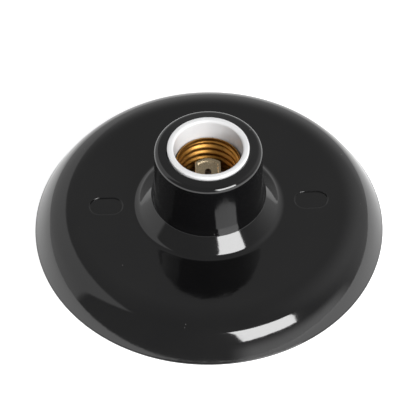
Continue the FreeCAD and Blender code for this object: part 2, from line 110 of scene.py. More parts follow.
# the brass shell and its lamp thread
SHELL_TOP = 41.2
SHEET = 0.4
THREAD_RADIUS = 13.35
THREAD_DEPTH = 1.1
THREAD_PITCH = 3.629
THREAD_START = 22.6
THREAD_FLATNESS = 0.85
TAB_RADIUS = 13.6
TAB_HALF = 4.5

# terminals, bridge and their screws
TERMINAL_X = 11.3
LINE_Y = -8.5
NEUTRAL_Y = 8.6
STRAP_HALF = 3.2
STRAP_LOW = 12.2
STRAP_HIGH = 13.0
CLAMP_LOW = 11.5
CLAMP_HALF = 3.2
BRIDGE_HALF = 6.0
BRIDGE_END = 37.0
BRIDGE_LOW = 5.8
BRIDGE_HIGH = 7.0

# the centre contact leaf
LEAF_HALF = 5.6
LEAF_TIP = 11.1
LEAF_BEND = -5.9
LEAF_SLOPE = math.tan(math.radians(28.5))
LEAF_BASE = 21.3
LEAF_THICK = 0.6
LEAF_ROUND = 0.9
LEAF_RIVET_Y = -8.5
LEAF_HOLES = ((5.7, 1.4), (LEAF_RIVET_Y, 1.55))


def dome(radius):
    """Height of the plate's outer face at a radius: level, then rising very slightly to the shoulder."""
    past = min(radius, SHOULDER_RADIUS) - LEVEL_RADIUS
    return PLATE_TOP + DISH * max(0.0, past) ** 2


def hollow(radius):
    """Height of the plate's underside at a radius."""
    return dome(radius) - PLATE_WALL


# ------------------------------------------------------------------ mesh helpers

SHARP_ANGLE = 32.0
SUPPORT_SHARE = 0.3
SUPPORT_ROOM = 0.45
SUPPORT_LEAST = 0.01
BEVEL_REACH = 1.3
SMALL = 1e-6


def make_object(name, verts, faces, material, sharp=SHARP_ANGLE):
    """A smooth-shaded object from points in millimetres, sharp only at real edges."""
    mesh = bpy.data.meshes.new(name)
    mesh.from_pydata([tuple(c * MM for c in v) for v in verts], [], faces)
    mesh.update()
    shell = bmesh.new()
    shell.from_mesh(mesh)
    bmesh.ops.recalc_face_normals(shell, faces=shell.faces)
    shell.to_mesh(mesh)
    shell.free()
    mesh.shade_smooth()
    mesh.set_sharp_from_angle(angle=math.radians(sharp))
    thing = bpy.data.objects.new(name, mesh)
    bpy.context.scene.collection.objects.link(thing)
    mesh.materials.append(material)
    return thing


def rounded(corners, steps=10, closed=True):
    """Points along (r, z, radius) corners, each round an arc with a support point at either end."""
    points = []
    count = len(corners)
    for index, (r, z, radius) in enumerate(corners):
        inner = 0 < index < count - 1
        if radius <= 0 or not (closed or inner):
            points.append((r, z))
            continue
        here = Vector((r, z))
        back = Vector(corners[index - 1][:2]) - here
        ahead = Vector(corners[(index + 1) % count][:2]) - here
        room = min(back.length, ahead.length)
        back.normalize()
        ahead.normalize()
        half = back.angle(ahead) / 2
        reach = radius / math.tan(half)
        centre = here + (back + ahead).normalized() * radius / math.sin(half)
        start = here + back * reach - centre
        turn = math.pi - 2 * half
        if start.x * (here - centre).y - start.y * (here - centre).x < 0:
            turn = -turn
        support = min(SUPPORT_SHARE * radius, SUPPORT_ROOM * (room - reach))
        if support > SUPPORT_LEAST:
            points.append(tuple(here + back * (reach + support)))
        for step in range(steps + 1):
            angle = turn * step / steps
            c = math.cos(angle)
            s = math.sin(angle)
            points.append((centre.x + start.x * c - start.y * s,
                           centre.y + start.x * s + start.y * c))
        if support > SUPPORT_LEAST:
            points.append(tuple(here + ahead * (reach + support)))
    return points


def lathe(profile, segments, x=0.0, y=0.0, closed=True):
    """Points, faces and rows of a profile turned about a vertical axis. Radius 0 closes an end."""
    verts = []
    rows = []
    for r, z in profile:
        if r < SMALL:
            rows.append([len(verts)] * segments)
            verts.append((x, y, z))
            continue
        rows.append(list(range(len(verts), len(verts) + segments)))
        for index in range(segments):
            angle = 2 * math.pi * index / segments
            verts.append((x + r * math.cos(angle), y + r * math.sin(angle), z))
    faces = []
    count = len(rows)
    for row in range(count if closed else count - 1):
        lower = rows[row]
        upper = rows[(row + 1) % count]
        for index in range(segments):
            after = (index + 1) % segments
            quad = [lower[index], lower[after], upper[after], upper[index]]
            face = list(dict.fromkeys(quad))
            if len(face) > 2:
                faces.append(face)
    return verts, faces, rows


def sector(profile, start, stop, steps):
    """A closed solid: a closed profile swept about the z axis from one angle to another, in degrees."""
    verts = []
    count = len(profile)
    for step in range(steps + 1):
        angle = math.radians(start + (stop - start) * step / steps)
        for r, z in profile:
            verts.append((r * math.cos(angle), r * math.sin(angle), z))
    faces = [list(range(count)), [steps * count + k for k in reversed(range(count))]]
    for step in range(steps):
        for k in range(count):
            a = step * count + k
            b = step * count + (k + 1) % count
            faces.append([a, b, b + count, a + count])
    return verts, faces


def prism(outline, low, high, bevel=0.0):
    """A flat slab from a plan outline, its top and bottom edges bevelled."""
    count = len(outline)
    centre = np.mean(np.array(outline), axis=0)
    verts = []
    faces = []
    levels = [(low, bevel), (low + bevel, 0.0), (high - bevel, 0.0), (high, bevel)]
    if bevel <= 0:
        levels = [(low, 0.0), (high, 0.0)]
    for z, inset in levels:
        for px, py in outline:
            away = np.array([px, py]) - centre
            length = max(SMALL, float(np.hypot(*away)))
            scale = (length - inset * BEVEL_REACH) / length
            verts.append((centre[0] + away[0] * scale, centre[1] + away[1] * scale, z))
    for level in range(len(levels) - 1):
        for k in range(count):
            a = level * count + k
            b = level * count + (k + 1) % count
            faces.append([a, b, b + count, a + count])
    faces.append(list(reversed(range(count))))
    faces.append([(len(levels) - 1) * count + k for k in range(count)])
    return verts, faces


def merge(*parts):
    """Several (points, faces) pairs as one."""
    verts = []
    faces = []
    for part in parts:
        base = len(verts)
        verts.extend(part[0])
        faces.extend([[base + k for k in face] for face in part[1]])
    return verts, faces


def carve(thing, cutters):
    """Cut closed meshes out of an object, and remove the cutters."""
    for cutter in cutters:
        modifier = thing.modifiers.new("carve", "BOOLEAN")
        modifier.operation = "DIFFERENCE"
        modifier.solver = "EXACT"
        modifier.object = cutter
    graph = bpy.context.evaluated_depsgraph_get()
    mesh = bpy.data.meshes.new_from_object(thing.evaluated_get(graph))
    thing.modifiers.clear()
    old = thing.data
    name = old.name
    thing.data = mesh
    bpy.data.meshes.remove(old)
    mesh.name = name
    mesh.shade_smooth()
    mesh.set_sharp_from_angle(angle=math.radians(SHARP_ANGLE))
    for cutter in cutters:
        bpy.data.objects.remove(cutter, do_unlink=True)
    return thing


def swept_sides(count):
    """Faces between two like outlines of count points, and the two ends."""
    faces = [list(range(count)), [count + k for k in reversed(range(count))]]
    faces += [[k, (k + 1) % count, count + (k + 1) % count, count + k] for k in range(count)]
    return faces


def rectangle(x0, y0, x1, y1, radius=0.0, steps=5):
    """Plan outline of a rectangle with rounded corners."""
    if radius <= 0:
        return [(x0, y0), (x1, y0), (x1, y1), (x0, y1)]
    points = []
    for cx, cy, start in ((x1 - radius, y0 + radius, -90), (x1 - radius, y1 - radius, 0),
                          (x0 + radius, y1 - radius, 90), (x0 + radius, y0 + radius, 180)):
        for step in range(steps + 1):
            angle = math.radians(start + 90 * step / steps)
            points.append((cx + radius * math.cos(angle), cy + radius * math.sin(angle)))
    return points


def finish_piece(thing, node, body=BODY):
    """A finished piece: it rides on its body and stands for its CAD node, which is hidden."""
    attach(thing, body)
    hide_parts(node)
    return thing


# ------------------------------------------------------------------ materials

def new_material(name):
    """A node material with its nodes, links and Principled shader."""
    material = bpy.data.materials.new(name)
    material.use_nodes = True
    nodes = material.node_tree.nodes
    return material, nodes, material.node_tree.links, nodes["Principled BSDF"]


def noise(nodes, links, coords, scale, detail=4.0, roughness=0.5, stretch=None):
    """Fractal noise of a scale, its space stretched if asked."""
    texture = nodes.new("ShaderNodeTexNoise")
    texture.inputs["Scale"].default_value = scale
    texture.inputs["Detail"].default_value = detail
    texture.inputs["Roughness"].default_value = roughness
    source = coords
    if stretch is not None:
        mapping = nodes.new("ShaderNodeMapping")
        mapping.inputs["Scale"].default_value = stretch
        links.new(coords, mapping.inputs["Vector"])
        source = mapping.outputs["Vector"]
    links.new(source, texture.inputs["Vector"])
    return texture.outputs["Fac"]


def ramp(nodes, links, value, stops):
    """A colour ramp through (position, colour) stops."""
    node = nodes.new("ShaderNodeValToRGB")
    elements = node.color_ramp.elements
    while len(elements) < len(stops):
        elements.new(0.5)
    for element, (position, colour) in zip(elements, stops):
        element.position = position
        element.color = colour if len(colour) == 4 else (*colour, 1.0)
    links.new(value, node.inputs["Fac"])
    return node.outputs["Color"]


def grey(value):
    """A colour with three equal channels."""
    return (value, value, value, 1.0)


def bump(nodes, links, height, strength, distance):
    """A normal from a height, raised by a distance in metres."""
    node = nodes.new("ShaderNodeBump")
    node.inputs["Strength"].default_value = strength
    node.inputs["Distance"].default_value = distance
    links.new(height, node.inputs["Height"])
    return node.outputs["Normal"]


def mix_colour(nodes, links, factor, first, second):
    """Two colours, or colour outputs, mixed by a factor output."""
    node = nodes.new("ShaderNodeMix")
    node.data_type = "RGBA"
    links.new(factor, node.inputs["Factor"])
    for socket, colour in ((node.inputs[6], first), (node.inputs[7], second)):
        if isinstance(colour, tuple):
            socket.default_value = colour
        else:
            links.new(colour, socket)
    return node.outputs[2]


def object_coords(nodes):
    """Coordinates in the piece's own space, in metres."""
    return nodes.new("ShaderNodeTexCoord").outputs["Object"]


def phenolic_material():
    """Glossy black moulding: faint orange peel, hair scratches and a little settled dust."""
    material, nodes, links, shader = new_material("black_phenolic")
    coords = object_coords(nodes)
    tone = ramp(nodes, links, noise(nodes, links, coords, 35, 3), [
        (0.3, (0.0028, 0.0028, 0.0031)), (0.75, (0.0045, 0.0044, 0.0045))])
    specks = nodes.new("ShaderNodeTexVoronoi")
    specks.inputs["Scale"].default_value = 420
    links.new(coords, specks.inputs["Vector"])
    near = ramp(nodes, links, specks.outputs["Distance"], [(0.05, grey(1)), (0.11, grey(0))])
    sparse = ramp(nodes, links, noise(nodes, links, coords, 130, 2), [
        (0.655, grey(0)), (0.70, grey(1))])
    dust = nodes.new("ShaderNodeMath")
    dust.operation = "MULTIPLY"
    links.new(near, dust.inputs[0])
    links.new(sparse, dust.inputs[1])
    colour = mix_colour(nodes, links, dust.outputs["Value"], tone, (0.16, 0.155, 0.15, 1))
    links.new(colour, shader.inputs["Base Color"])
    rough = ramp(nodes, links, noise(nodes, links, coords, 90, 6, 0.62), [
        (0.3, grey(0.055)), (0.62, grey(0.085)), (0.8, grey(0.13))])
    links.new(rough, shader.inputs["Roughness"])
    peel = bump(nodes, links, noise(nodes, links, coords, 210, 2), 0.05, 0.0004)
    links.new(peel, shader.inputs["Normal"])
    shader.inputs["IOR"].default_value = 1.6
    return material


def porcelain_material():
    """White glaze: slightly uneven, with a few pin specks."""
    material, nodes, links, shader = new_material("white_porcelain")
    coords = object_coords(nodes)
    tone = ramp(nodes, links, noise(nodes, links, coords, 60, 4), [
        (0.3, (0.71, 0.71, 0.72)), (0.7, (0.77, 0.77, 0.77))])
    specks = ramp(nodes, links, noise(nodes, links, coords, 900, 2), [
        (0.76, grey(0)), (0.80, grey(1))])
    colour = mix_colour(nodes, links, specks, tone, (0.52, 0.47, 0.42, 1))
    links.new(colour, shader.inputs["Base Color"])
    rough = ramp(nodes, links, noise(nodes, links, coords, 150, 3), [
        (0.3, grey(0.12)), (0.8, grey(0.24))])
    links.new(rough, shader.inputs["Roughness"])
    waves = bump(nodes, links, noise(nodes, links, coords, 170, 3), 0.08, 0.0005)
    links.new(waves, shader.inputs["Normal"])
    shader.inputs["IOR"].default_value = 1.52
    return material


def metal_material(name, dark, light, rough, brush=None, scale=220, stain=0.0):
    """Metal with cloudy tarnish and fine scratches. brush stretches the scratches."""
    material, nodes, links, shader = new_material(name)
    coords = object_coords(nodes)
    cloud = noise(nodes, links, coords, 95, 5, 0.6)
    colour = ramp(nodes, links, cloud, [(0.32, dark), (0.68, light)])
    if stain > 0:
        spots = ramp(nodes, links, noise(nodes, links, coords, 260, 4), [
            (0.58, grey(0)), (0.72, grey(stain))])
        colour = mix_colour(nodes, links, spots, colour, tuple(0.35 * c for c in dark) + (1.0,))
    links.new(colour, shader.inputs["Base Color"])
    fine = noise(nodes, links, coords, scale, 5, 0.65, stretch=brush)
    links.new(ramp(nodes, links, fine, [(0.3, grey(rough * 0.75)), (0.75, grey(rough * 1.35))]),
              shader.inputs["Roughness"])
    links.new(bump(nodes, links, fine, 0.12, 0.0002), shader.inputs["Normal"])
    shader.inputs["Metallic"].default_value = 1.0
    return material


# ------------------------------------------------------------------ cover

# the lathed skin is opened in a window at each knock-out: WINDOW columns to a side, WINDOW_ROWS rows
SEGMENTS = 320
WINDOW = 10
WINDOW_OUT = 54.0
WINDOW_IN = 35.6
WINDOW_ROWS = 24

# rings of a recess, from the window inwards: share of the way back to the window's edge, distance
# outside the recess's own edge, and depth below the face
TOP_RINGS = ((0.85, 0.5, 0), (0.68, 0.5, 0), (0.5, 0.5, 0), (0.33, 0.5, 0), (0.16, 0.5, 0), (0, 0.5, 0),
             (0, 0.30, 0.0), (0, 0.17, 0.02), (0, 0.07, 0.08), (0, 0.0, 0.18), (0, -0.04, 0.34),
             (0, -0.08, 0.54), (0, -0.14, 0.64), (0, -0.24, 0.69), (0, -0.4, KNOCKOUT_DEPTH),
             (0, -0.8, KNOCKOUT_DEPTH), (0, -2.4, KNOCKOUT_DEPTH), (0, -4.3, KNOCKOUT_DEPTH))
UNDER_RINGS = ((0.75, 0.4, 0), (0.5, 0.4, 0), (0.25, 0.4, 0), (0, 0.4, 0), (0, 0.2, 0), (0, 0.05, -0.1),
               (0, 0.0, -0.3), (0, -0.1, -0.9), (0, -0.2, -1.05), (0, -0.4, -KNOCKOUT_UNDER),
               (0, -1.0, -KNOCKOUT_UNDER), (0, -4.3, -KNOCKOUT_UNDER))


def knockout_patch(verts, faces, rows, outer_row, inner_row, side_x, surface, rings):
    """Fill a window of the lathed skin with a recess that has round ends, following the skin around it."""
    middle = 0 if side_x > 0 else SEGMENTS // 2
    columns = [(middle + k) % SEGMENTS for k in range(-WINDOW, WINDOW + 1)]
    step = 1 if inner_row > outer_row else -1
    loop = [rows[outer_row][c] for c in columns]
    loop += [rows[r][columns[-1]] for r in range(outer_row + step, inner_row, step)]
    loop += [rows[inner_row][c] for c in reversed(columns)]
    loop += [rows[r][columns[0]] for r in range(inner_row - step, outer_row, -step)]
    centre = side_x * KNOCKOUT_X
    anchors = []
    for index in loop:
        x, y, _ = verts[index]
        along = max(-KNOCKOUT_STRAIGHT, min(KNOCKOUT_STRAIGHT, x - centre))
        base = Vector((centre + along, 0.0))
        anchors.append((base, (Vector((x, y)) - base).normalized(), Vector((x, y))))
    previous = loop
    mean = surface(KNOCKOUT_X)
    level = rings[-1][2]
    for blend, offset, depth in rings:
        ring = []
        for base, direction, border in anchors:
            point = base + direction * (KNOCKOUT_RADIUS + offset)
            point = point.lerp(border, blend)
            share = min(1.0, abs(depth) / abs(level))
            z = surface(point.length) * (1 - share) + mean * share - depth
            ring.append(len(verts))
            verts.append((point.x, point.y, z))
        for k in range(len(loop)):
            after = (k + 1) % len(loop)
            faces.append([previous[k], previous[after], ring[after], ring[k]])
        previous = ring
    faces.append(list(previous))


def bezier(start, lift, pull, end, steps):
    """Corners without a round along a cubic curve in the (r, z) plane."""
    points = []
    for step in range(steps + 1):
        t = step / steps
        u = 1 - t
        point = start * u ** 3 + lift * 3 * u * u * t + pull * 3 * u * t * t + end * t ** 3
        points.append((point.x, point.y, 0.0))
    return points


def shoulder():
    """The convex shoulder as one smooth curve, from the rim's edge up to the level top."""
    rim = Vector((75.72, 1.05))
    turn = Vector((69.05, 11.0))
    end = Vector((SHOULDER_RADIUS, dome(SHOULDER_RADIUS)))
    corner = Vector((65.3, 14.85))
    low = bezier(rim, rim + Vector((-1.9, 3.73)), turn + Vector((2.75, -2.75)), turn, 30)
    high = bezier(turn, turn.lerp(corner, 0.58), end.lerp(corner, 0.62) + Vector((0, 0.12)), end, 36)
    return low + high[1:]


def cover_profile():
    """Closed half section of the moulding, with rows for the windows of the knock-outs."""
    window = [WINDOW_OUT + (WINDOW_IN - WINDOW_OUT) * k / WINDOW_ROWS for k in range(WINDOW_ROWS + 1)]
    outer = [56.4, 55.6, 54.8]
    corners = [(RIM_INSIDE, 0.0, 0.3), (PLATE_RADIUS, 0.0, 0.2)]
    corners += [(PLATE_RADIUS, 0.8, 0.2), (75.8, 0.9, 0.05)]
    corners += shoulder()
    corners += [(r, dome(r), 0.0) for r in outer + window]
    corners += [(CONE_RADIUS, dome(CONE_RADIUS), 4.6), (24.7, 21.3, 0.8), (23.9, 25.0, 6.0)]
    corners += [(23.3, 32.0, 0.0), (23.05, 39.0, 0.0), (NECK_RADIUS, 45.0, 0.0), (NECK_RADIUS, 48.9, 2.2)]
    corners += [(NECK_BORE, NECK_TOP, 0.3), (NECK_BORE, SEAT, 0.0), (POCKET_RADIUS, SEAT, 0.0)]
    corners += [(POCKET_RADIUS, POCKET_TOP, 0.0), (SKIRT_RADIUS, hollow(SKIRT_RADIUS), 0.0)]
    corners += [(r, hollow(r), 0.0) for r in [34.6, 35.1] + window[::-1] + [55.2, 55.9]]
    corners += [(66.0, 9.9, 2.0), (RIM_INSIDE, 7.5, 1.0)]
    return rounded(corners, steps=11)


def row_near(profile, r, z):
    """Number of the profile point nearest to a place."""
    return min(range(len(profile)), key=lambda k: abs(profile[k][0] - r) + abs(profile[k][1] - z))


def window_rows(profile, surface):
    """First and last row of the windows on the outer face or the underside."""
    return [row_near(profile, r, surface(r)) for r in (WINDOW_OUT, WINDOW_IN)]


def plate_and_neck():
    """The lathed moulding with a recess above and below each knock-out's web."""
    profile = cover_profile()
    verts, faces, rows = lathe(profile, SEGMENTS)
    windows = [window_rows(profile, surface) for surface in (dome, hollow)]
    keep = []
    for number, face in enumerate(faces):
        row, column = divmod(number, SEGMENTS)
        half = SEGMENTS // 2
        offset = min(column % half, half - 1 - column % half)
        in_window = any(min(pair) <= row < max(pair) for pair in windows)
        if not (in_window and offset < WINDOW):
            keep.append(face)
    for side in (1, -1):
        knockout_patch(verts, keep, rows, *windows[0], side, dome, TOP_RINGS)
        knockout_patch(verts, keep, rows, *windows[1], side, hollow, UNDER_RINGS)
    return verts, keep


def split_ring(profile, middle):
    """A ring under the neck with a notch for a wire at either side."""
    gap = math.degrees(math.asin(NOTCH_HALF / middle))
    return [sector(profile, gap, 180 - gap, 72), sector(profile, 180 + gap, 360 - gap, 72)]


def rib(turn):
    """A rib from the skirt to the shoulder at an angle in degrees."""
    side = rounded([(RIB_INSIDE, 8.1, 0.3), (SHOULDER_RADIUS, 5.0, 0.8), (SHOULDER_RADIUS, 12.0, 0),
                    (RIB_INSIDE, 13.2, 0)], steps=4)
    c = math.cos(math.radians(turn))
    s = math.sin(math.radians(turn))
    verts = []
    for across in (-RIB_HALF, RIB_HALF):
        verts += [(r * c - across * s, r * s + across * c, z) for r, z in side]
    return verts, swept_sides(len(side))


def build_cover(material):
    """The black moulding: plate, neck, skirt, four ribs and two screw posts."""
    skirt = rounded([(POCKET_RADIUS, SKIRT_LOW, 0.4), (SKIRT_RADIUS, SKIRT_LOW, 0.4),
                     (SKIRT_RADIUS, SKIRT_HIGH, 0), (POCKET_RADIUS, SKIRT_HIGH, 0)], steps=4)
    post = rounded([(POST_HOLE, POST_LOW, 0.2), (4.6, POST_LOW, 0.4), (4.75, POST_HIGH, 0.0),
                    (0.0, POST_HIGH, 0.0), (0.0, 11.4, 0.0), (POST_HOLE, 11.4, 0.0)], steps=4)
    parts = [plate_and_neck()] + split_ring(skirt, SKIRT_MIDDLE)
    parts += [rib(turn) for turn in (45, 135, 225, 315)]
    parts += [lathe(post, 48, 0.0, y)[:2] for y in (-POST_Y, POST_Y)]
    thing = make_object("moulded_cover", *merge(*parts), material)
    return finish_piece(thing, "cover")


# ------------------------------------------------------------------ porcelain insert

def build_insert(material):
    """The white body: collar, bore, flange under the neck and a notched ring below it."""
    profile = rounded([
        (0.0, INSERT_BASE, 0), (INSERT_RING, INSERT_BASE, 0), (INSERT_FLANGE, INSERT_BASE, 0),
        (INSERT_FLANGE, SEAT, 0.4), (INSERT_RADIUS, SEAT, 0), (INSERT_RADIUS, 24.0, 0),
        (INSERT_RADIUS, 34.0, 0), (INSERT_RADIUS, 44.0, 0), (INSERT_RADIUS, INSERT_TOP, 0.8),
        (BORE_RADIUS, INSERT_TOP, 1.15), (BORE_RADIUS, 44.0, 0), (BORE_RADIUS, 38.0, 0),
        (BORE_RADIUS, 30.0, 0), (BORE_RADIUS, FLOOR, 0.5), (0.0, FLOOR, 0)], steps=9, closed=False)
    body = lathe(profile, 256, closed=False)[:2]
    ring = rounded([(INSERT_RING, RING_LOW, 0.5), (INSERT_FLANGE, RING_LOW, 0.5),
                    (INSERT_FLANGE, SKIRT_HIGH, 0), (INSERT_RING, SKIRT_HIGH, 0)], steps=4)
    thing = make_object("porcelain_body", *merge(body, *split_ring(ring, RING_MIDDLE)), material)
    return finish_piece(thing, "porcelain_insert")


# ------------------------------------------------------------------ screw shell

def ease(share):
    """0 to 1 with a level start and end."""
    share = min(1.0, max(0.0, share))
    return share * share * (3 - 2 * share)


def shell_radius_at(angle, z):
    """Inside radius of the rolled shell: a right-handed rounded thread that fades out at both ends."""
    phase = (z - THREAD_START) / THREAD_PITCH - angle / (2 * math.pi)
    wave = 0.5 - 0.5 * math.cos(2 * math.pi * phase)
    wave = wave ** THREAD_FLATNESS
    strength = ease((z - 22.2) / 1.5) * ease((SHELL_TOP - 1.3 - z) / 1.4)
    return THREAD_RADIUS - THREAD_DEPTH * wave * strength


def shell_tab(side):
    """The tab that turns in from the shell's foot and takes a rivet."""
    outline = []
    for k in range(13):
        y = -TAB_HALF + 2 * TAB_HALF * k / 12
        outline.append((side * math.sqrt(TAB_RADIUS ** 2 - y * y), y))
    outline += [(side * 10.2, TAB_HALF), (side * 9.5, 4.3), (side * 9.2, 3.6), (side * 9.2, -3.6),
                (side * 9.5, -4.3), (side * 10.2, -TAB_HALF)]
    if side < 0:
        outline = outline[::-1]
    return prism(outline, FLOOR, FLOOR + SHEET, 0.08)


def build_shell(material):
    """The threaded brass sleeve with its two tabs."""
    around = 240
    heights = [FLOOR + (SHELL_TOP - FLOOR) * k / 108 for k in range(109)]
    verts = []
    rows = []
    profile = [(z, 0.0) for z in heights]
    profile += [(SHELL_TOP, 0.13), (SHELL_TOP, 0.27)]
    profile += [(z, SHEET) for z in reversed(heights)]
    for z, offset in profile:
        rows.append(range(len(verts), len(verts) + around))
        for index in range(around):
            angle = 2 * math.pi * index / around
            r = shell_radius_at(angle, z) + offset
            verts.append((r * math.cos(angle), r * math.sin(angle), z))
    faces = []
    for row, lower in enumerate(rows):
        upper = rows[(row + 1) % len(rows)]
        for index in range(around):
            after = (index + 1) % around
            faces.append([lower[index], lower[after], upper[after], upper[index]])
    sleeve = (verts, faces)
    whole = merge(sleeve, shell_tab(1), shell_tab(-1))
    thing = make_object("brass_screw_shell", *whole, material, sharp=40)
    return finish_piece(thing, "screw_shell")


# ------------------------------------------------------------------ rivets, screws, terminals

def build_rivet(name, node, x, y, head_seat, tail_seat, material):
    """A clinched rivet: a low head on top and a rolled tail below."""
    head = 0.8
    profile = rounded([
        (0.0, head_seat + head, 0), (1.3, head_seat + head, 0.5), (1.9, head_seat + 0.25, 0.25),
        (1.9, head_seat, 0), (1.2, head_seat, 0), (1.2, tail_seat, 0), (1.7, tail_seat, 0.1),
        (1.7, tail_seat - 0.6, 0.2), (0.9, tail_seat - 0.6, 0.1), (0.6, tail_seat - 0.25, 0.2),
        (0.0, tail_seat - 0.25, 0)], steps=4, closed=False)
    thing = make_object(name, *lathe(profile, 40, x, y, closed=False)[:2], material)
    return finish_piece(thing, node)


def screw_mesh(name, x, y, seat, shank, length, head, height, material):
    """A slotted pan head screw driven upwards, its thread a stack of fine grooves."""
    pitch = 0.35
    profile = [(0.0, seat + length), (shank * 0.7, seat + length)]
    for k in range(int(length / pitch)):
        z = seat + length - 0.3 - k * pitch
        profile += [(shank, z), (shank - 0.16, z - 0.17)]
    profile += [(shank, seat)]
    end = seat - height
    pan = rounded([(shank, seat, 0), (head, seat, 0.1), (head, seat - height * 0.62, 0.5),
                   (head * 0.62, end, 0.9), (0.0, end, 0)], steps=6, closed=False)
    profile += pan[1:]
    thing = make_object(name, *lathe(profile, 48, x, y, closed=False)[:2], material)
    slot = prism(rectangle(x - head * 1.1, y - 0.5, x + head * 1.1, y + 0.5), end - 0.5, end + 1.1)
    cutter = make_object(name + "_slot", *slot, material)
    return carve(thing, [cutter])


def build_terminal(name, node, reach, x, y, turn, material):
    """A stamped strap from the rivet at (x, y) to the middle of its clamp, reach away at an angle."""
    outline = rectangle(-STRAP_HALF, -STRAP_HALF, reach + STRAP_HALF, STRAP_HALF, 0.7)
    c = math.cos(math.radians(turn))
    s = math.sin(math.radians(turn))
    outline = [(x + px * c - py * s, y + px * s + py * c) for px, py in outline]
    thing = make_object(name, *prism(outline, STRAP_LOW, STRAP_HIGH, 0.12), material)
    return finish_piece(thing, node)


def build_terminal_screw(name, node, x, y, material):
    """A clamp screw under a strap, and the square washer that is one piece with it."""
    screw = screw_mesh(name, x, y, CLAMP_LOW, 1.75, 5.1, 3.1, 2.0, material)
    square = rectangle(x - CLAMP_HALF, y - CLAMP_HALF, x + CLAMP_HALF, y + CLAMP_HALF, 0.4)
    clamp = make_object(name + "_clamp", *prism(square, CLAMP_LOW, STRAP_LOW, 0.12), material)
    for thing in (screw, clamp):
        finish_piece(thing, node)


def build_bridge_screw(end, y, material):
    """A screw that holds one end of the bridge to its post."""
    screw = screw_mesh("bridge_fixing_" + end, 0.0, y, BRIDGE_LOW, 2.0, 5.3, 3.8, 2.8, material)
    return finish_piece(screw, "bridge_screw_" + end)


def build_bridge(material):
    """The steel strip across the porcelain, from post to post."""
    outline = rectangle(-BRIDGE_HALF, -BRIDGE_END, BRIDGE_HALF, BRIDGE_END, 2.0, 8)
    thing = make_object("steel_bridge", *prism(outline, BRIDGE_LOW, BRIDGE_HIGH, 0.15), material)
    return finish_piece(thing, "retaining_bridge")


# ------------------------------------------------------------------ centre contact leaf

def leaf_height(y):
    """Underside of the leaf, flat at its root and rising past the bend on a small round."""
    past = y - LEAF_BEND
    if past < -LEAF_ROUND:
        return LEAF_BASE
    if past < LEAF_ROUND:
        return LEAF_BASE + LEAF_SLOPE * (past + LEAF_ROUND) ** 2 / (4 * LEAF_ROUND)
    return LEAF_BASE + LEAF_SLOPE * past


def build_leaf(material):
    """The spring leaf: a raised border around a sunk face, on a flat root that takes the rivet."""
    around = 200
    insets = [0.0, 0.05, 0.15, 0.35, 0.7, 1.0, 1.15, 1.28, 1.42, 1.7, 2.3, 3.0, 3.8, 4.6, 5.2]
    verts = []

    def ring(inset, lift):
        """One row of points around the leaf, an inset from its edge and lifted off its underside."""
        indices = []
        for index in range(around):
            angle = 2 * math.pi * (index + 0.5) / around
            c = math.cos(angle)
            s = math.sin(angle)
            reach = min((LEAF_HALF - inset) / max(SMALL, abs(c)), LEAF_TIP - inset)
            x = reach * c
            y = reach * s
            slope = LEAF_SLOPE if y > LEAF_BEND else 0.0
            z = leaf_height(y) + lift(inset, y) * math.sqrt(1 + slope * slope)
            indices.append(len(verts))
            verts.append((x, y, z))
        return indices

    def top(inset, y):
        """Height of the upper face: a worn edge, a border and a sunk face past the bend."""
        edge = LEAF_THICK - 0.12 * max(0.0, 1 - inset / 0.15) ** 2
        on_blade = min(1.0, max(0.0, (y - LEAF_BEND - 1.0) / 0.8))
        return edge - 0.2 * ease((inset - 1.05) / 0.35) * on_blade

    def bottom(inset, _):
        """Height of the lower face, its edge worn."""
        return 0.10 * max(0.0, 1 - inset / 0.15) ** 2

    upper = [ring(inset, top) for inset in insets]
    lower = [ring(inset, bottom) for inset in insets]
    faces = []

    def bridge(first, second):
        """Faces between two rows."""
        for k in range(around):
            after = (k + 1) % around
            faces.append([first[k], first[after], second[after], second[k]])

    for rings in (upper, lower):
        for first, second in zip(rings, rings[1:]):
            bridge(first, second)
        faces.append(list(rings[-1]))
    bridge(upper[0], lower[0])
    thing = make_object("contact_leaf_blade", verts, faces, material, sharp=40)
    holes = []
    for number, (y, r) in enumerate(LEAF_HOLES):
        drill = lathe([(0.0, 15.0), (r, 15.0), (r, 40.0), (0.0, 40.0)], 48, 0.0, y, closed=False)[:2]
        holes.append(make_object("drill_%d" % number, *drill, material))
    carve(thing, holes)
    return finish_piece(thing, "centre_contact_leaf", LEAF_BODY)


# ------------------------------------------------------------------ build the pieces

PHENOLIC = phenolic_material()
PORCELAIN = porcelain_material()
SHELL_BRASS = metal_material("rolled_brass", (0.34, 0.16, 0.030), (0.48, 0.25, 0.065), 0.42,
                             scale=300, stain=0.35)
CONTACT = metal_material("pale_bronze", (0.50, 0.40, 0.26), (0.66, 0.54, 0.36), 0.26,
                         scale=300, stain=0.3)
RIVET_BRASS = metal_material("rivet_brass", (0.55, 0.36, 0.12), (0.72, 0.50, 0.22), 0.3,
                             scale=400, stain=0.4)
TERMINAL_BRASS = metal_material("terminal_brass", (0.58, 0.38, 0.12), (0.74, 0.52, 0.22), 0.28,
                                brush=(1, 6, 1), scale=260, stain=0.3)
ZINC = metal_material("bright_zinc", (0.50, 0.51, 0.53), (0.68, 0.69, 0.70), 0.3, scale=420, stain=0.2)
BRIDGE_STEEL = metal_material("bridge_zinc", (0.44, 0.45, 0.46), (0.60, 0.60, 0.61), 0.36,
                              brush=(1, 0.08, 1), scale=380, stain=0.3)

